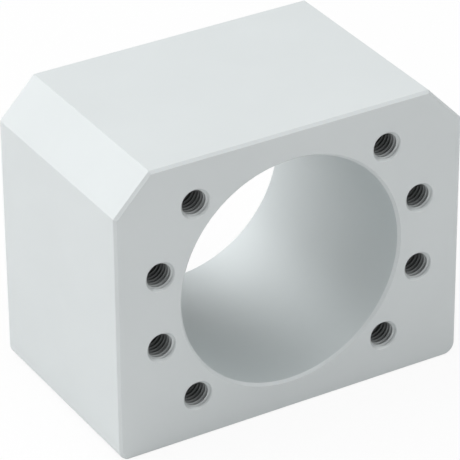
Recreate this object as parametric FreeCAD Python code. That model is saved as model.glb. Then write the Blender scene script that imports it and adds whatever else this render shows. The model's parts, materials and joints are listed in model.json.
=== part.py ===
import FreeCAD, Part
import math
import os

# Ball screw nut housing: one aluminium block that holds a flanged ball nut and bolts to a slide.
# Millimetres. The origin is the middle of the mounting face, X runs across the block, Y along the
# bore and Z up. The front face, where the nut's flange seats, looks along -Y.

# Block
WIDTH = 100.0
DEPTH = 60.0
HEIGHT = 80.0
BEVEL_RUN = 10.0  # taken off the top face, at each side
BEVEL_DROP = 10.5  # taken off the side face, below the top
BASE_EDGE_RADIUS = 3.0
EDGE_BREAK = 0.7  # chamfer round both end faces

# Bore for the body of the nut
NUT_BODY_DIAMETER = 63.0
NUT_BODY_CLEARANCE = 0.2  # on the diameter
BORE_HEIGHT = 40.0  # axis above the mounting face
BORE_CHAMFER = 0.7

# Tapped holes for the nut's flange: a group at each side of the bore, on one pitch circle
FLANGE_PITCH_CIRCLE = 78.0
FLANGE_HOLES_PER_SIDE = 4
FLANGE_HOLE_STEP = 30.0  # degrees between neighbours in a group
FLANGE_SCREW = 8.0
FLANGE_SCREW_PITCH = 1.25
FLANGE_THREAD_DEPTH = 16.0

# Tapped holes in the mounting face: the corners of a rectangle
BASE_HOLES_ACROSS = 80.0
BASE_HOLES_ALONG = 40.0
BASE_SCREW = 8.0
BASE_SCREW_PITCH = 1.25
BASE_THREAD_DEPTH = 16.0

# Form of every tapped hole
COUNTERSINK_MARGIN = 0.15  # rim outside the thread, on the radius
COUNTERSINK_ANGLE = 90.0
TAP_LEAD_TURNS = 2.0  # turns over which the thread runs out
PLAIN_END = 3.0  # drilled depth below the thread's run-out
DRILL_POINT_ANGLE = 118.0

ORIGIN = FreeCAD.Vector(0, 0, 0)
UP = FreeCAD.Vector(0, 0, 1)
INTO_FRONT = FreeCAD.Vector(0, 1, 0)


def extruded_section():
    """Bar of the block's section, drawn along Y: flat base, upright sides, bevelled shoulders."""
    side = WIDTH / 2
    crown = side - BEVEL_RUN
    shoulder = HEIGHT - BEVEL_DROP
    right = [(side, 0), (side, shoulder), (crown, HEIGHT)]
    left = [(-x, z) for x, z in reversed(right)]
    corners = [FreeCAD.Vector(x, -DEPTH / 2, z) for x, z in right + left]
    outline = Part.makePolygon(corners + corners[:1])
    return Part.Face(outline).extrude(INTO_FRONT * DEPTH)


def block():
    """The bar with its base edges rounded and the outline of both end faces chamfered."""
    bar = extruded_section()
    base_edges = [
        edge
        for edge in bar.Edges
        if edge.CenterOfMass.z < BASE_EDGE_RADIUS and abs(edge.CenterOfMass.x) > WIDTH / 4
    ]
    rounded = bar.makeFillet(BASE_EDGE_RADIUS, base_edges)
    end_edges = [edge for edge in rounded.Edges if abs(edge.CenterOfMass.y) > DEPTH / 4]
    return rounded.makeChamfer(EDGE_BREAK, end_edges)


def turned(outline):
    """Solid of revolution about Z, from the (radius, height) corners of its half section."""
    corners = [FreeCAD.Vector(radius, 0, height) for radius, height in outline]
    half_section = Part.Face(Part.makePolygon(corners + corners[:1]))
    return half_section.revolve(ORIGIN, UP, 360)


def set_in(space, mouth, inward):
    """A copy of a space whose mouth, its origin, is at a point and whose +Z runs inward."""
    copy = space.copy()
    copy.Placement = FreeCAD.Placement(mouth, FreeCAD.Rotation(UP, inward))
    return copy


def bore_space():
    """Through bore with a 45 degree chamfer at each end, drawn past both faces by the chamfer."""
    wall = (NUT_BODY_DIAMETER + NUT_BODY_CLEARANCE) / 2
    flared = wall + 2 * BORE_CHAMFER
    outline = [
        (0, -BORE_CHAMFER),
        (flared, -BORE_CHAMFER),
        (wall, BORE_CHAMFER),
        (wall, DEPTH - BORE_CHAMFER),
        (flared, DEPTH + BORE_CHAMFER),
        (0, DEPTH + BORE_CHAMFER),
    ]
    front = FreeCAD.Vector(0, -DEPTH / 2, BORE_HEIGHT)
    return set_in(turned(outline), front, INTO_FRONT)


def tapped_hole_space(screw, pitch, thread_depth):
    """Blind hole at the thread's outer diameter: countersink, thread, tap's lead, drilled end.

    The countersink's cone is drawn past the face by its own depth.
    """
    thread_radius = screw / 2
    drill_radius = (screw - pitch) / 2
    flared_radius = thread_radius + 2 * COUNTERSINK_MARGIN
    countersink_depth = COUNTERSINK_MARGIN / math.tan(math.radians(COUNTERSINK_ANGLE / 2))
    lead_end = thread_depth + TAP_LEAD_TURNS * pitch
    plain_end = lead_end + PLAIN_END
    point = plain_end + drill_radius / math.tan(math.radians(DRILL_POINT_ANGLE / 2))
    return turned(
        [
            (0, -countersink_depth),
            (flared_radius, -countersink_depth),
            (thread_radius, countersink_depth),
            (thread_radius, thread_depth),
            (drill_radius, lead_end),
            (drill_radius, plain_end),
            (0, point),
        ]
    )


def flange_hole_spaces():
    """The two groups of flange holes, each spread evenly about the level of the bore's axis."""
    hole = tapped_hole_space(FLANGE_SCREW, FLANGE_SCREW_PITCH, FLANGE_THREAD_DEPTH)
    middle = (FLANGE_HOLES_PER_SIDE - 1) / 2
    radius = FLANGE_PITCH_CIRCLE / 2
    spaces = []
    for side in (1, -1):
        for index in range(FLANGE_HOLES_PER_SIDE):
            angle = math.radians((index - middle) * FLANGE_HOLE_STEP)
            x = side * radius * math.cos(angle)
            z = BORE_HEIGHT + radius * math.sin(angle)
            spaces.append(set_in(hole, FreeCAD.Vector(x, -DEPTH / 2, z), INTO_FRONT))
    return spaces


def base_hole_spaces():
    """The holes in the mounting face, at the corners of their rectangle."""
    hole = tapped_hole_space(BASE_SCREW, BASE_SCREW_PITCH, BASE_THREAD_DEPTH)
    spaces = []
    for x in (-BASE_HOLES_ACROSS / 2, BASE_HOLES_ACROSS / 2):
        for y in (-BASE_HOLES_ALONG / 2, BASE_HOLES_ALONG / 2):
            spaces.append(set_in(hole, FreeCAD.Vector(x, y, 0), UP))
    return spaces


def nut_housing():
    """The finished block."""
    spaces = [bore_space()] + flange_hole_spaces() + base_hole_spaces()
    return block().cut(spaces).Solids[0]


os.makedirs("parts", exist_ok=True)
nut_housing().exportStep("parts/nut_housing.step")
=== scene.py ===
import json
import math

import bpy
import numpy as np
from bpy.props import FloatProperty, FloatVectorProperty, IntProperty, PointerProperty
from mathutils import Matrix, Vector


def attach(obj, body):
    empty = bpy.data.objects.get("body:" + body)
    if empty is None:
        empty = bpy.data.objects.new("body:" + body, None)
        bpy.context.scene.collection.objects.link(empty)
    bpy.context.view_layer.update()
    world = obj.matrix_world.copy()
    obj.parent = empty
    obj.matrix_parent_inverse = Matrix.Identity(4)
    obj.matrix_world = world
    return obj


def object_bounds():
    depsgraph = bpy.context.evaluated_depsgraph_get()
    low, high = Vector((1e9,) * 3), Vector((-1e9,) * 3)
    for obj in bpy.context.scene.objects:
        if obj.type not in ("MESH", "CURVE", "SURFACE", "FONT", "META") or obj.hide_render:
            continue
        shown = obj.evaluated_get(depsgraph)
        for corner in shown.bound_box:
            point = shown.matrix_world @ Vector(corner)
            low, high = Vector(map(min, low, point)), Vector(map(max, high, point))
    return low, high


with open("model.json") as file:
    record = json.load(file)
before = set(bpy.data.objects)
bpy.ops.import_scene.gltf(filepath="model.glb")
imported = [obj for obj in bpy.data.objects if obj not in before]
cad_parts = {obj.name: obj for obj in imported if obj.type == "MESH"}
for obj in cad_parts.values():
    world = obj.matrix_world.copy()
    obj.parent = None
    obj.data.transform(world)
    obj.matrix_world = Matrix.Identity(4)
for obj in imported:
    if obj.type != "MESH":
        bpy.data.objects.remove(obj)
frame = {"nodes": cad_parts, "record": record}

bl_info = {
    "name": "Ball screw nut housing",
    "version": (1, 0, 0),
    "blender": (4, 5, 0),
    "location": "3D View > Sidebar > Nut housing",
    "description": "Finishes a machined nut housing: anodised block, cut threads and a studio stage",
    "category": "Object",
}

# Metres. The block stands on the floor, Z = 0, with its bore along Y and the flange holes towards -Y.
MM = 0.001
CAD_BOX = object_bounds()
MIDDLE = (CAD_BOX[0] + CAD_BOX[1]) / 2
BLOCK = "nut_housing"
BODY = "root"
MOUNTS = {mount["name"]: mount for mount in frame["record"]["mounts"]}
BORE = MOUNTS["nut_bore"]
FLANGE_PATTERNS = ("flange_holes_outer", "flange_holes_inner")
BASE_PATTERNS = ("mounting_holes",)

# Form of a cut thread
FLANK_ANGLE = math.radians(30)  # half of the thread's 60 degrees
FOOT_SHARE = 7 / 16  # half of the ridge's width at its foot, in pitches
FLANK_POINTS = 5  # mesh points down each flank
SUNK = 0.02 * MM  # how far the ridge's foot reaches into the metal
CREST_RELIEF = 0.002 * MM  # how far the crest stands back from the drill's radius
SHARP_ANGLE = math.radians(25)  # edges that turn more than this stay sharp

# Textures of the finish. The details are octaves of noise.
GRAIN_DETAIL = 2.0
CLOUD_DETAIL = 4.0
RING_DETAIL = 1.0
NOISE_RANGE = (0.3, 0.7)  # where most values of a noise lie

# Masks of the finish and of its painted shade
BORE_SKIN = 0.03 * MM  # how far the bore's mask reaches past its wall
SHADED_DEPTHS = 2  # reach of the shade in a hole, in depths of the full thread
EVERYWHERE = 1.0  # a reach past every point of the block

# Softboxes: name, azimuth and elevation in degrees, power in watts, whether the metal mirrors it.
# The fills light the matte part of the finish alone, so that no face shines white from another side.
SOFTBOXES = (
    ("left", 150, 21, 3.3, True),
    ("left_fill", 150, 28, 5.3, False),
    ("front_left", 235, 25, 1.8, True),
    ("front_fill", 262, 35, 0.9, False),
    ("right", 314, 46, 5.4, True),
    ("top_left", 131, 60, 9.7, True),
    ("top_fill", 335, 80, 6.5, False),
)


# Sizes and colours that a user would change

class ThreadSizes(bpy.types.PropertyGroup):
    """Sizes of the cut threads."""

    pitch: FloatProperty(
        name="Pitch", description="Travel of the thread in one turn", default=1.25 * MM, unit="LENGTH"
    )
    depth: FloatProperty(
        name="Full depth", description="Depth of the full thread", default=16.0 * MM, unit="LENGTH"
    )
    lead_turns: FloatProperty(
        name="Lead turns", description="Turns over which the thread runs out", default=2.0
    )
    rim_margin: FloatProperty(
        name="Countersink margin",
        description="How far the countersink's rim stands outside the thread",
        default=0.15 * MM,
        unit="LENGTH",
    )
    start: FloatProperty(
        name="Start",
        description="Angle of the crest at the hole's mouth",
        default=math.radians(-160),
        unit="ROTATION",
    )
    turn_steps: IntProperty(
        name="Steps in a turn", description="Mesh steps round one turn", default=64
    )


class AnodisedFinish(bpy.types.PropertyGroup):
    """Colours, texture and painted shade of the aluminium."""

    colour: FloatVectorProperty(
        name="Aluminium",
        description="Colour of the clear anodised metal",
        default=(0.695, 0.732, 0.737),
        subtype="COLOR",
    )
    # Darker than the block's colour, all through the threads
    thread_colour: FloatVectorProperty(
        name="Threads",
        description="Colour of the metal in the cut threads",
        default=(0.614, 0.645, 0.648),
        subtype="COLOR",
    )
    face_metallic: FloatProperty(
        name="Face metal",
        description="Share of bare metal's reflection in the film on the faces",
        default=0.15,
        subtype="FACTOR",
    )
    bore_metallic: FloatProperty(
        name="Bore metal",
        description="Share of bare metal's reflection in the bore",
        default=0.82,
        subtype="FACTOR",
    )
    thread_metallic: FloatProperty(
        name="Thread metal",
        description="Share of bare metal's reflection in the threads",
        default=0.5,
        subtype="FACTOR",
    )
    face_roughness: FloatProperty(
        name="Face roughness", description="Roughness of the faces", default=0.50, subtype="FACTOR"
    )
    bore_roughness: FloatProperty(
        name="Bore roughness", description="Roughness of the bore", default=0.60, subtype="FACTOR"
    )
    thread_roughness: FloatProperty(
        name="Thread roughness",
        description="Roughness of the cut threads",
        default=0.45,
        subtype="FACTOR",
    )
    # Painted shade midway in the bore: the least share of colour it leaves
    bore_shade_least: FloatProperty(
        name="Bore least",
        description="Share of the colour left midway in the bore",
        default=0.90,
        subtype="FACTOR",
    )
    grain_size: FloatProperty(
        name="Grain", description="Size of the fine matte grain", default=0.3 * MM, unit="LENGTH"
    )
    grain_depth: FloatProperty(
        name="Grain depth",
        description="Depth of the fine matte grain",
        default=0.004 * MM,
        unit="LENGTH",
    )
    cloud_size: FloatProperty(
        name="Clouds", description="Size of the faint patches of tone", default=25 * MM, unit="LENGTH"
    )
    cloud_depth: FloatProperty(
        name="Cloud strength",
        description="Share by which the patches change the tone",
        default=0.012,
        subtype="FACTOR",
    )
    ring_pitch: FloatProperty(
        name="Boring rings",
        description="Pitch of the rings that the boring tool leaves",
        default=0.35 * MM,
        unit="LENGTH",
    )
    ring_length: FloatProperty(
        name="Ring length",
        description="Length over which one ring fades into the next",
        default=20 * MM,
        unit="LENGTH",
    )
    ring_depth: FloatProperty(
        name="Ring depth", description="Depth of the boring rings", default=0.003 * MM, unit="LENGTH"
    )
    # Painted shade in the tapped holes: its start, its fade and the least share of colour it leaves
    shade_start: FloatProperty(
        name="Shade start",
        description="Depth in a tapped hole where it begins to darken",
        default=0.3 * MM,
        unit="LENGTH",
    )
    shade_fade: FloatProperty(
        name="Shade fade",
        description="Depth over which a tapped hole darkens",
        default=3.6 * MM,
        unit="LENGTH",
    )
    shade_least: FloatProperty(
        name="Shade least",
        description="Share of the colour left deep in a hole",
        default=0.35,
        subtype="FACTOR",
    )


class StudioStage(bpy.types.PropertyGroup):
    """Camera, floor and light."""

    lens: FloatProperty(
        name="Lens", description="Focal length in millimetres", default=269.97, unit="CAMERA"
    )
    azimuth: FloatProperty(
        name="Azimuth",
        description="Camera's turn about Z",
        default=math.radians(-30.474),
        unit="ROTATION",
    )
    elevation: FloatProperty(
        name="Elevation",
        description="Camera's angle above the level",
        default=math.radians(30.134),
        unit="ROTATION",
    )
    roll: FloatProperty(
        name="Roll",
        description="Camera's turn about its line of sight",
        default=math.radians(-0.416),
        unit="ROTATION",
    )
    distance: FloatProperty(
        name="Distance", description="Camera to the aim point", default=882.97 * MM, unit="LENGTH"
    )
    aim_right: FloatProperty(
        name="Aim right",
        description="Aim point right of the block's middle",
        default=-0.267 * MM,
        unit="LENGTH",
    )
    aim_up: FloatProperty(
        name="Aim up",
        description="Aim point above the block's middle",
        default=-2.474 * MM,
        unit="LENGTH",
    )
    floor_colour: FloatVectorProperty(
        name="Floor", description="Colour of the floor", default=(0.88, 0.88, 0.88), subtype="COLOR"
    )
    floor_size: FloatProperty(
        name="Floor size", description="Side of the floor", default=6.0, unit="LENGTH"
    )
    floor_white_seen: FloatProperty(
        name="Floor white",
        description="Share of plain white in the floor as it is seen",
        default=0.9,
        subtype="FACTOR",
    )
    floor_white_mirrored: FloatProperty(
        name="Floor mirrored",
        description="Share of plain white in the floor as the metal mirrors it",
        default=0.2,
        subtype="FACTOR",
    )
    white_mirrored: FloatProperty(
        name="White mirrored",
        description="Share of plain white in the surroundings as the metal mirrors them",
        default=0.4,
        subtype="FACTOR",
    )
    softbox_size: FloatProperty(
        name="Softbox", description="Side of each softbox", default=1.5, unit="LENGTH"
    )
    softbox_distance: FloatProperty(
        name="Softbox distance",
        description="Each softbox from the block's middle",
        default=1.2,
        unit="LENGTH",
    )


# Meshes

def pattern_axes(mount):
    """The axis that a pattern's holes run along, and the two axes of the face that they are in."""
    axis = int(np.abs(mount["axis"]).argmax())
    return axis, [i for i in range(3) if i != axis]


def pattern_corner(mount):
    """One corner of a rectangle of holes, from its middle: half of each spacing."""
    return np.array([mount["dims"]["spacing_x_mm"], mount["dims"]["spacing_y_mm"]]) * MM / 2


def pattern_mouths(mount):
    """Mouths of a rectangle of holes: its middle plus or minus the corner, in the face."""
    _, in_face = pattern_axes(mount)
    corners = np.array([(x, y) for x in (-1, 1) for y in (-1, 1)]) * pattern_corner(mount)
    mouths = np.tile(np.array(mount["pos_m"], float), (len(corners), 1))
    mouths[:, in_face] += corners
    return mouths


def thread_turns(outer, sizes):
    """Ridge of an internal thread, as points round the hole's axis (z inward) and faces.

    Parameters: the way along the helix and the offset across the ridge. The angle grows with the way, one
    turn in each pitch, and depth is way plus offset. Radius is the drill's at the crest and grows down the
    flanks at half the thread's 60 degrees. The countersink's cone trims the ridge, and what would stand
    before it is pressed together halfway down the cone. Over the tap's lead the crest sinks into the metal.
    Where the ridge would pass the hole's wall, it stops just inside the metal.
    """
    slope = math.tan(FLANK_ANGLE)
    drill = outer - sizes.pitch / 2
    foot = sizes.pitch * FOOT_SHARE
    crest = foot - (outer - drill) * slope
    lead_end = sizes.depth + sizes.lead_turns * sizes.pitch
    way = np.arange(-foot, lead_end + foot, sizes.pitch / sizes.turn_steps)[:, None]
    rising = np.linspace(-foot, -crest, FLANK_POINTS)
    falling = np.linspace(crest, foot, FLANK_POINTS)
    offset = np.concatenate([rising, falling])[None]
    angle = 2 * math.pi * way / sizes.pitch + sizes.start + np.zeros_like(offset)
    depth = way + offset
    flank = drill + np.maximum(np.abs(offset) - crest, 0) / slope
    cone = outer + sizes.rim_margin - depth
    lead_sunk = np.interp(depth, [sizes.depth, lead_end], [0, SUNK])
    radius = np.maximum(flank, cone) + CREST_RELIEF + lead_sunk
    halfway = sizes.rim_margin / 2
    pressed = halfway + SUNK * (depth - halfway) / foot
    depth = np.where(depth < halfway, pressed, depth)
    stops = [0, sizes.rim_margin, sizes.depth, lead_end]
    wall = np.interp(depth, stops, [outer + sizes.rim_margin, outer, outer, drill])
    radius = np.minimum(radius, wall + SUNK)
    points = np.stack([radius * np.cos(angle), radius * np.sin(angle), depth], axis=-1)
    rows, columns = points.shape[:2]
    index = np.arange(rows * columns).reshape(rows, columns)
    near, far = index[:-1], index[1:]
    quads = np.stack([near, np.roll(near, -1, 1), np.roll(far, -1, 1), far], axis=-1).reshape(-1, 4)
    caps = [index[0][::-1].tolist(), index[-1].tolist()]
    return points.reshape(-1, 3), quads.tolist() + caps


def add_piece(name, points, faces, material, depth):
    """A mesh object at the origin that moves with the block, smooth between its sharp edges.

    Each point keeps its depth in its hole, which the material's painted shade follows.
    """
    mesh = bpy.data.meshes.new(name)
    mesh.from_pydata(points.tolist(), [], faces)
    mesh.attributes.new("depth", "FLOAT", "POINT").data.foreach_set("value", depth)
    mesh.polygons.foreach_set("use_smooth", np.ones(len(mesh.polygons), bool))
    mesh.set_sharp_from_angle(angle=SHARP_ANGLE)
    mesh.materials.append(material)
    mesh.validate()
    piece = bpy.data.objects.new(name, mesh)
    bpy.context.scene.collection.objects.link(piece)
    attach(piece, BODY)


def add_threads(patterns, name):
    """A thread in each hole of some bolt patterns."""
    scene = bpy.context.scene
    threads = scene.nut_housing_threads
    material = cut_thread(scene.nut_housing_finish)
    count = 0
    for pattern in patterns:
        mount = MOUNTS[pattern]
        outer = mount["dims"]["hole_r_mm"] * MM
        points, faces = thread_turns(outer, threads)
        inward = -Vector(mount["axis"])
        turn = np.array(inward.to_track_quat("Z", "Y").to_matrix())
        for mouth in pattern_mouths(mount):
            count += 1
            add_piece(f"{name}_{count}", points @ turn.T + mouth, faces, material, points[:, 2])


# Nodes

def put(tree, kind, *values, **settings):
    """A node with its settings, and its inputs filled in order: sockets are linked, None is skipped."""
    node = tree.nodes.new(kind)
    for key, value in settings.items():
        setattr(node, key, value)
    for socket, value in zip(node.inputs, values):
        if isinstance(value, bpy.types.NodeSocket):
            tree.links.new(value, socket)
        elif value is not None:
            socket.default_value = value
    return node


def calc(tree, operation, *values):
    """Output of a Math node."""
    return put(tree, "ShaderNodeMath", *values, operation=operation).outputs[0]


def vector_calc(tree, operation, *values):
    """Vector Math node."""
    return put(tree, "ShaderNodeVectorMath", *values, operation=operation)


def scaled_range(tree, value, low, high, new_low, new_high):
    """A value carried from one range to another, clamped at its ends."""
    return put(tree, "ShaderNodeMapRange", value, low, high, new_low, new_high).outputs[0]


def noise(tree, place, scale, detail):
    """Value of a noise texture."""
    return put(tree, "ShaderNodeTexNoise", place, None, scale, detail).outputs[0]


def shader_group(name, inputs, outputs):
    """A new shader node group with named sockets: its tree, its inputs and its outputs."""
    tree = bpy.data.node_groups.new(name, "ShaderNodeTree")
    for label, kind in inputs.items():
        tree.interface.new_socket(label, in_out="INPUT", socket_type="NodeSocket" + kind)
    for label, kind in outputs.items():
        tree.interface.new_socket(label, in_out="OUTPUT", socket_type="NodeSocket" + kind)
    return tree, tree.nodes.new("NodeGroupInput").outputs, tree.nodes.new("NodeGroupOutput").inputs


def place_group(tree, group, **values):
    """A node group in a material, with its inputs set or linked by name."""
    node = tree.nodes.new("ShaderNodeGroup")
    node.node_tree = group
    for label, value in values.items():
        if isinstance(value, bpy.types.NodeSocket):
            tree.links.new(value, node.inputs[label])
        else:
            node.inputs[label].default_value = value
    return node.outputs


# Effects that the block and its threads share: matte grain and painted hole shade

def matte_grain_group():
    """Matte grain: Height is a fine even roughness, Tone a broad cloudiness, both from 0 to 1."""
    if "matte_grain" in bpy.data.node_groups:
        return bpy.data.node_groups["matte_grain"]
    inputs = {"Position": "Vector", "Fine": "Float", "Broad": "Float"}
    outputs = {"Height": "Float", "Tone": "Float"}
    tree, given, result = shader_group("matte_grain", inputs, outputs)
    for size, detail, output in (("Fine", GRAIN_DETAIL, "Height"), ("Broad", CLOUD_DETAIL, "Tone")):
        scale = calc(tree, "DIVIDE", 1.0, given[size])
        tree.links.new(noise(tree, given["Position"], scale, detail), result[output])
    return tree


def hole_shade_group():
    """Painted hole shade: 1 on the outside, falling with depth inside the four holes of a rectangle.

    Across is the place across the face from the rectangle's middle, and Corner half of its sides. Within
    Rim of a corner and above Bottom, the shade falls past Start as a bell curve of depth over Fade, down to
    Least.
    """
    if "hole_shade" in bpy.data.node_groups:
        return bpy.data.node_groups["hole_shade"]
    inputs = dict.fromkeys(("Across", "Corner"), "Vector")
    inputs.update(dict.fromkeys(("Depth", "Rim", "Bottom", "Start", "Fade", "Least"), "Float"))
    tree, given, result = shader_group("hole_shade", inputs, {"Shade": "Float"})
    folded = vector_calc(tree, "ABSOLUTE", given["Across"]).outputs[0]
    reach = vector_calc(tree, "DISTANCE", folded, given["Corner"]).outputs["Value"]
    inside = calc(tree, "LESS_THAN", reach, given["Rim"])
    inside = calc(tree, "MULTIPLY", inside, calc(tree, "LESS_THAN", given["Depth"], given["Bottom"]))
    past = calc(tree, "SUBTRACT", given["Depth"], given["Start"])
    past = calc(tree, "DIVIDE", calc(tree, "MAXIMUM", past, 0.0), given["Fade"])
    square = calc(tree, "MULTIPLY", past, past)
    light = calc(tree, "EXPONENT", calc(tree, "MULTIPLY", square, -1.0))
    light = calc(tree, "MAXIMUM", light, given["Least"])
    loss = calc(tree, "MULTIPLY", calc(tree, "SUBTRACT", 1.0, light), inside)
    tree.links.new(calc(tree, "SUBTRACT", 1.0, loss), result["Shade"])
    return tree


def matte_grain(tree, place, finish):
    """Height and Tone of the finish's matte grain."""
    sizes = {"Fine": finish.grain_size, "Broad": finish.cloud_size}
    return place_group(tree, matte_grain_group(), Position=place, **sizes)


def cloud_tone(tree, grain, finish):
    """Share of the colour in the faint clouds, a little below and above 1."""
    depth = finish.cloud_depth
    return scaled_range(tree, grain["Tone"], *NOISE_RANGE, 1 - depth, 1 + depth)


def hole_shade(tree, finish, **values):
    """Painted shade of tapped holes, with the finish's own fall of light in them."""
    fall = {"Start": finish.shade_start, "Fade": finish.shade_fade, "Least": finish.shade_least}
    return place_group(tree, hole_shade_group(), **fall, **values)["Shade"]


# Materials

def metal(name, metallic, roughness):
    """A new material with its tree and its Principled shader."""
    material = bpy.data.materials.new(name)
    material.use_nodes = True
    shader = material.node_tree.nodes["Principled BSDF"]
    shader.inputs["Metallic"].default_value = metallic
    shader.inputs["Roughness"].default_value = roughness
    return material, material.node_tree, shader


def tint(tree, shader, colour, *factors):
    """Base colour: one colour times some values over the surface."""
    factor = factors[0]
    for other in factors[1:]:
        factor = calc(tree, "MULTIPLY", factor, other)
    product = vector_calc(tree, "SCALE", tuple(colour))
    tree.links.new(factor, product.inputs["Scale"])
    tree.links.new(product.outputs[0], shader.inputs["Base Color"])


def pattern_shade(tree, pattern, place, finish, threads):
    """Painted shade of the holes of one bolt pattern on the block."""
    mount = MOUNTS[pattern]
    axis, in_face = pattern_axes(mount)
    from_middle = vector_calc(tree, "SUBTRACT", place, Vector(mount["pos_m"])).outputs[0]
    offset = put(tree, "ShaderNodeSeparateXYZ", from_middle).outputs
    return hole_shade(
        tree,
        finish,
        Across=put(tree, "ShaderNodeCombineXYZ", *[offset[i] for i in in_face]).outputs[0],
        Corner=(*pattern_corner(mount), 0),
        Depth=calc(tree, "MULTIPLY", offset[axis], -mount["axis"][axis]),
        Rim=mount["dims"]["hole_r_mm"] * MM + threads.rim_margin,
        Bottom=SHADED_DEPTHS * threads.depth,
    )


def bore_mask(tree, from_middle):
    """1 on the wall of the bore and 0 elsewhere, by the distance from its axis."""
    flat = vector_calc(tree, "MULTIPLY", from_middle, (1, 0, 1)).outputs[0]
    radius = vector_calc(tree, "LENGTH", flat).outputs["Value"]
    return calc(tree, "LESS_THAN", radius, BORE["dims"]["r_mm"] * MM + BORE_SKIN)


def bore_shade(tree, from_middle, in_bore, finish):
    """Painted shade along the bore: 1 at both ends and the least midway, with a parabola between."""
    along = put(tree, "ShaderNodeSeparateXYZ", from_middle).outputs["Y"]
    half_length = BORE["dims"]["length_mm"] * MM / 2
    towards_end = calc(tree, "DIVIDE", along, half_length)
    towards_middle = calc(tree, "SUBTRACT", 1.0, calc(tree, "MULTIPLY", towards_end, towards_end))
    loss = calc(tree, "MULTIPLY", calc(tree, "MAXIMUM", towards_middle, 0.0), 1 - finish.bore_shade_least)
    return calc(tree, "SUBTRACT", 1.0, calc(tree, "MULTIPLY", loss, in_bore))


def boring_rings(tree, place, in_bore, finish):
    """Height of the boring tool's rings: a noise that is fine along the bore and long across it."""
    stretch = (1 / finish.ring_length, 1 / finish.ring_pitch, 1 / finish.ring_length)
    stretched = vector_calc(tree, "MULTIPLY", place, stretch).outputs[0]
    rings = calc(tree, "MULTIPLY", noise(tree, stretched, 1.0, RING_DETAIL), in_bore)
    return calc(tree, "MULTIPLY", rings, finish.ring_depth)


def anodised_aluminium(finish, threads):
    """Clear anodised aluminium: matte grain all over, rings in a barer bore, painted shade midway in the
    bore and inside the holes.
    """
    material, tree, shader = metal("anodised_block", finish.face_metallic, finish.face_roughness)
    place = put(tree, "ShaderNodeTexCoord").outputs["Object"]
    from_middle = vector_calc(tree, "SUBTRACT", place, Vector(BORE["pos_m"])).outputs[0]
    in_bore = bore_mask(tree, from_middle)
    roughness = scaled_range(tree, in_bore, 0.0, 1.0, finish.face_roughness, finish.bore_roughness)
    tree.links.new(roughness, shader.inputs["Roughness"])
    metallic = scaled_range(tree, in_bore, 0.0, 1.0, finish.face_metallic, finish.bore_metallic)
    tree.links.new(metallic, shader.inputs["Metallic"])

    grain = matte_grain(tree, place, finish)
    # Painted shade midway in the bore and deep in the holes, times the clouds' random tone
    shades = [cloud_tone(tree, grain, finish), bore_shade(tree, from_middle, in_bore, finish)]
    for pattern in FLANGE_PATTERNS + BASE_PATTERNS:
        shades.append(pattern_shade(tree, pattern, place, finish, threads))
    tint(tree, shader, finish.colour, *shades)

    rings = boring_rings(tree, place, in_bore, finish)
    height = calc(tree, "MULTIPLY_ADD", grain["Height"], finish.grain_depth, rings)
    bump = put(tree, "ShaderNodeBump")
    bump.inputs["Distance"].default_value = 1.0  # the height is in metres already
    tree.links.new(height, bump.inputs["Height"])
    tree.links.new(bump.outputs[0], shader.inputs["Normal"])
    return material


def cut_thread(finish):
    """Thread cut in the same metal, a little darker, with painted shade: light at the mouth, dark further
    in.
    """
    if "cut_thread" in bpy.data.materials:
        return bpy.data.materials["cut_thread"]
    material, tree, shader = metal("cut_thread", finish.thread_metallic, finish.thread_roughness)
    place = put(tree, "ShaderNodeTexCoord").outputs["Object"]
    clouds = cloud_tone(tree, matte_grain(tree, place, finish), finish)
    depth = put(tree, "ShaderNodeAttribute", attribute_name="depth").outputs["Fac"]
    # Painted shade that darkens the thread with its depth in the hole
    shade = hole_shade(tree, finish, Depth=depth, Rim=EVERYWHERE, Bottom=EVERYWHERE)
    tint(tree, shader, finish.thread_colour, clouds, shade)
    return material


def white_share(tree, seen, mirrored):
    """Share of plain white: one value to the camera, another in reflections and through glass."""
    rays = put(tree, "ShaderNodeLightPath").outputs
    reflected = calc(tree, "MAXIMUM", rays["Is Glossy Ray"], rays["Is Transmission Ray"])
    reflected = calc(tree, "MULTIPLY", reflected, mirrored)
    return calc(tree, "MULTIPLY_ADD", rays["Is Camera Ray"], seen, reflected)


def pale_paper(stage):
    """Matte pale paper, clear from below, part of it plain white to the camera and in reflections."""
    material = bpy.data.materials.new("floor")
    material.use_nodes = True
    tree = material.node_tree
    paper = tree.nodes["Principled BSDF"]
    paper.inputs["Base Color"].default_value = (*stage.floor_colour, 1)
    paper.inputs["Roughness"].default_value = 1.0
    paper.inputs["Specular IOR Level"].default_value = 0.0
    white = put(tree, "ShaderNodeEmission").outputs[0]
    share = white_share(tree, stage.floor_white_seen, stage.floor_white_mirrored)
    top = put(tree, "ShaderNodeMixShader", share, paper.outputs[0], white).outputs[0]
    clear = put(tree, "ShaderNodeBsdfTransparent").outputs[0]
    below = put(tree, "ShaderNodeNewGeometry").outputs["Backfacing"]
    surface = put(tree, "ShaderNodeMixShader", below, top, clear).outputs[0]
    tree.links.new(surface, tree.nodes["Material Output"].inputs["Surface"])
    return material


# Stage

def add_floor(stage):
    """Square floor at the block's foot."""
    half = stage.floor_size / 2
    mesh = bpy.data.meshes.new("floor")
    corners = [(-half, -half, 0), (half, -half, 0), (half, half, 0), (-half, half, 0)]
    mesh.from_pydata(corners, [], [(0, 1, 2, 3)])
    mesh.materials.append(pale_paper(stage))
    floor = bpy.data.objects.new("floor", mesh)
    bpy.context.scene.collection.objects.link(floor)


def add_world(stage):
    """White surroundings, seen by the camera and in reflections. The softboxes give the light."""
    world = bpy.data.worlds.new("studio")
    world.use_nodes = True
    tree = world.node_tree
    background = tree.nodes["Background"]
    background.inputs["Color"].default_value = (1, 1, 1, 1)
    tree.links.new(white_share(tree, 1.0, stage.white_mirrored), background.inputs["Strength"])
    bpy.context.scene.world = world


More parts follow.
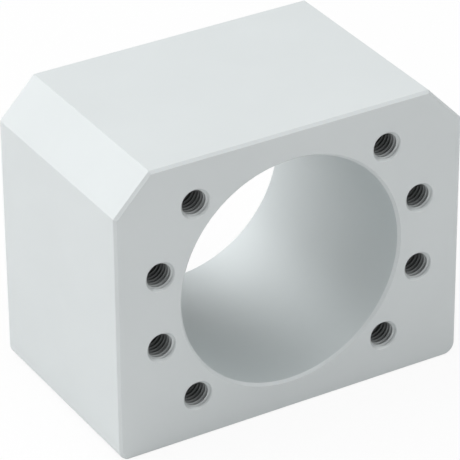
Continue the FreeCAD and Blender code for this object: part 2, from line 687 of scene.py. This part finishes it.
def direction(azimuth, elevation):
    """Unit vector at an azimuth, from +X towards +Y, and an elevation, both in degrees."""
    turn = math.radians(azimuth)
    lift = math.radians(elevation)
    return Vector((math.cos(turn) * math.cos(lift), math.sin(turn) * math.cos(lift), math.sin(lift)))


def add_softbox(name, azimuth, elevation, power, mirrored, stage):
    """A square area lamp that faces the block, out of the camera's sight."""
    way = direction(azimuth, elevation)
    lamp = bpy.data.lights.new(name, "AREA")
    lamp.size = stage.softbox_size
    lamp.energy = power
    box = bpy.data.objects.new(name, lamp)
    box.location = MIDDLE + way * stage.softbox_distance
    box.rotation_euler = way.to_track_quat("Z", "Y").to_euler()
    box.visible_camera = False
    box.visible_glossy = mirrored
    bpy.context.scene.collection.objects.link(box)


def add_camera(stage):
    """Camera on a ray from the aim point, turned by azimuth, from -Y towards +X, elevation and roll."""
    flat = math.cos(stage.elevation)
    back = Vector((
        math.sin(stage.azimuth) * flat,
        -math.cos(stage.azimuth) * flat,
        math.sin(stage.elevation),
    ))
    level = Vector((math.cos(stage.azimuth), math.sin(stage.azimuth), 0))
    upright = back.cross(level)
    right = level * math.cos(stage.roll) + upright * math.sin(stage.roll)
    up = back.cross(right)
    aim = MIDDLE + right * stage.aim_right + up * stage.aim_up
    place = aim + back * stage.distance
    lens = bpy.data.cameras.new("camera")
    lens.lens = stage.lens
    camera = bpy.data.objects.new("camera", lens)
    camera.matrix_world = Matrix.Translation(place) @ Matrix((right, up, back)).transposed().to_4x4()
    bpy.context.scene.collection.objects.link(camera)
    bpy.context.scene.camera = camera


# Operators

class NUT_HOUSING_OT_block(bpy.types.Operator):
    """Give the machined block its anodised finish"""

    bl_idname = "nut_housing.block"
    bl_label = "Finish the block"

    def execute(self, context):
        scene = context.scene
        finish = anodised_aluminium(scene.nut_housing_finish, scene.nut_housing_threads)
        block = frame["nodes"][BLOCK]
        block.data.materials.clear()
        block.data.materials.append(finish)
        return {"FINISHED"}


class NUT_HOUSING_OT_flange_threads(bpy.types.Operator):
    """Cut the threads of the holes that take the nut's flange"""

    bl_idname = "nut_housing.flange_threads"
    bl_label = "Cut the flange threads"

    def execute(self, context):
        add_threads(FLANGE_PATTERNS, "flange_thread")
        return {"FINISHED"}


class NUT_HOUSING_OT_base_threads(bpy.types.Operator):
    """Cut the threads of the holes in the mounting face"""

    bl_idname = "nut_housing.base_threads"
    bl_label = "Cut the base threads"

    def execute(self, context):
        add_threads(BASE_PATTERNS, "base_thread")
        return {"FINISHED"}


class NUT_HOUSING_OT_stage(bpy.types.Operator):
    """Set the floor, the light and the camera"""

    bl_idname = "nut_housing.stage"
    bl_label = "Set the stage"

    def execute(self, context):
        stage = context.scene.nut_housing_stage
        context.scene.view_settings.view_transform = "Standard"
        add_floor(stage)
        add_world(stage)
        for softbox in SOFTBOXES:
            add_softbox(*softbox, stage)
        add_camera(stage)
        return {"FINISHED"}


class NUT_HOUSING_PT_sidebar(bpy.types.Panel):
    """The housing's steps in the 3D view's sidebar"""

    bl_idname = "NUT_HOUSING_PT_sidebar"
    bl_label = "Ball screw nut housing"
    bl_space_type = "VIEW_3D"
    bl_region_type = "UI"
    bl_category = "Nut housing"

    def draw(self, context):
        for operator in OPERATORS:
            self.layout.operator(operator.bl_idname)


GROUPS = {
    "nut_housing_threads": ThreadSizes,
    "nut_housing_finish": AnodisedFinish,
    "nut_housing_stage": StudioStage,
}
OPERATORS = (
    NUT_HOUSING_OT_block,
    NUT_HOUSING_OT_flange_threads,
    NUT_HOUSING_OT_base_threads,
    NUT_HOUSING_OT_stage,
)
CLASSES = (*GROUPS.values(), *OPERATORS, NUT_HOUSING_PT_sidebar)


def register():
    """Register the classes, and give each scene its groups of sizes and colours."""
    for kind in CLASSES:
        bpy.utils.register_class(kind)
    for name, kind in GROUPS.items():
        setattr(bpy.types.Scene, name, PointerProperty(type=kind))


def unregister():
    """Take away what register gives, in the opposite order."""
    for name in GROUPS:
        delattr(bpy.types.Scene, name)
    for kind in reversed(CLASSES):
        bpy.utils.unregister_class(kind)


def main():
    """Register the classes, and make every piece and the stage."""
    register()
    bpy.ops.nut_housing.block()
    bpy.ops.nut_housing.flange_threads()
    bpy.ops.nut_housing.base_threads()
    bpy.ops.nut_housing.stage()


if __name__ == "__main__":
    main()
